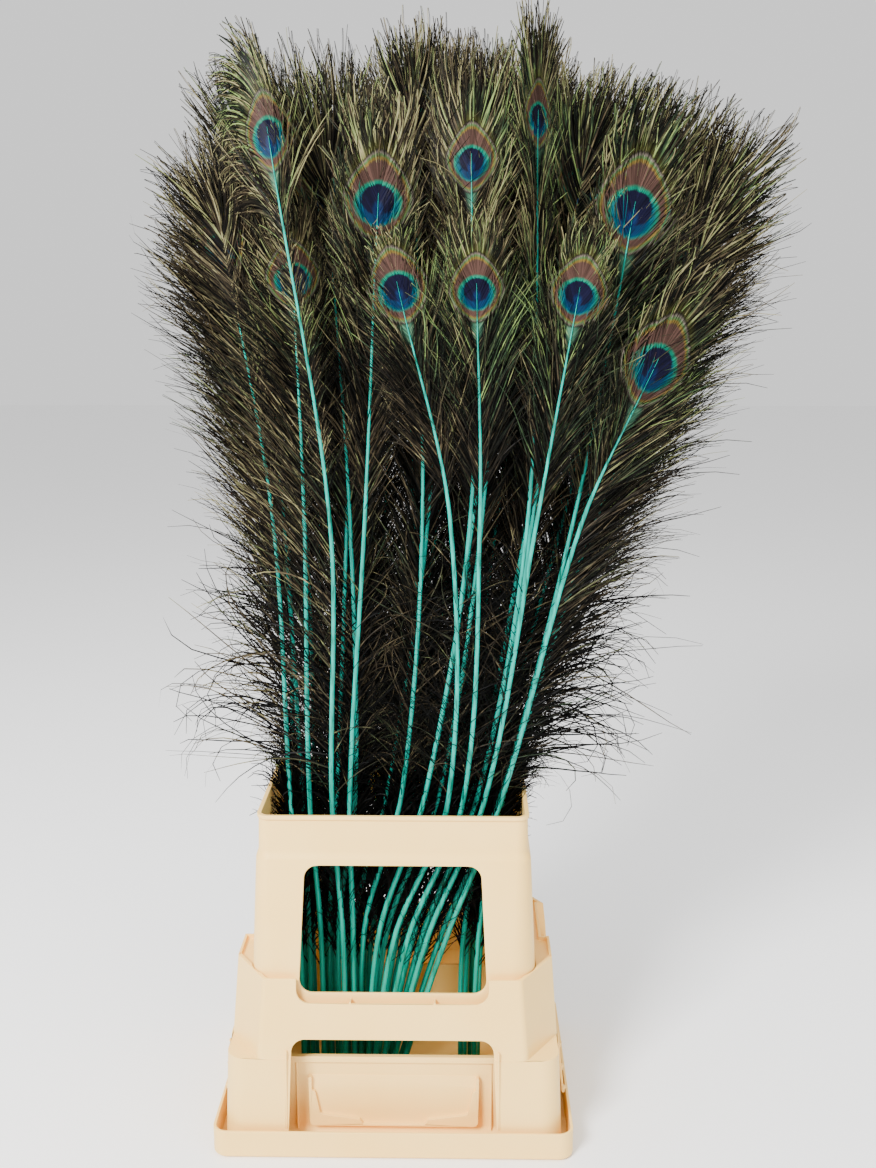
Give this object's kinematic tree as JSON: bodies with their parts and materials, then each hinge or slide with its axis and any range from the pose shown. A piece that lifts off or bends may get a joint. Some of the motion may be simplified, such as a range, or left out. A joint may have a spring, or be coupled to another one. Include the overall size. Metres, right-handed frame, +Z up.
{
  "type": "bunch of peacock feathers in a flower holder",
  "caption": "Dyed-stem peacock tail feathers with eyed, loose-barbed vanes, fanned out in a cream plastic bucket with two stacked windowed collars.",
  "frame": {"origin": "centre of the tray's underside", "axes": "+Z up along the bunch, -Y towards the side with the label holder, +X to the right seen from there"},
  "size_m": [0.6116, 0.2836, 1.141],
  "materials": {
    "holder_plastic": "satin moulded polypropylene, warm cream",
    "feather": "bronze-green iridescent barbs on turquoise-dyed shafts"
  },
  "bodies": {
    "root": {"base": "holder_plastic", "lower_collar": "holder_plastic", "upper_collar": "holder_plastic", "feather_01": "feather", "feather_02": "feather", "feather_03": "feather", "feather_04": "feather", "feather_05": "feather", "feather_06": "feather", "feather_07": "feather", "feather_08": "feather", "feather_09": "feather", "feather_10": "feather", "feather_11": "feather", "feather_12": "feather", "feather_13": "feather", "feather_14": "feather", "feather_15": "feather", "feather_16": "feather", "feather_17": "feather", "feather_18": "feather", "feather_19": "feather", "feather_20": "feather", "feather_21": "feather", "feather_22": "feather", "feather_23": "feather", "feather_24": "feather", "feather_25": "feather", "feather_26": "feather", "feather_27": "feather", "feather_28": "feather", "feather_29": "feather", "feather_30": "feather", "feather_31": "feather", "feather_32": "feather", "feather_33": "feather", "feather_34": "feather", "feather_35": "feather", "feather_36": "feather", "feather_37": "feather", "feather_38": "feather"}
  },
  "joints": []
}
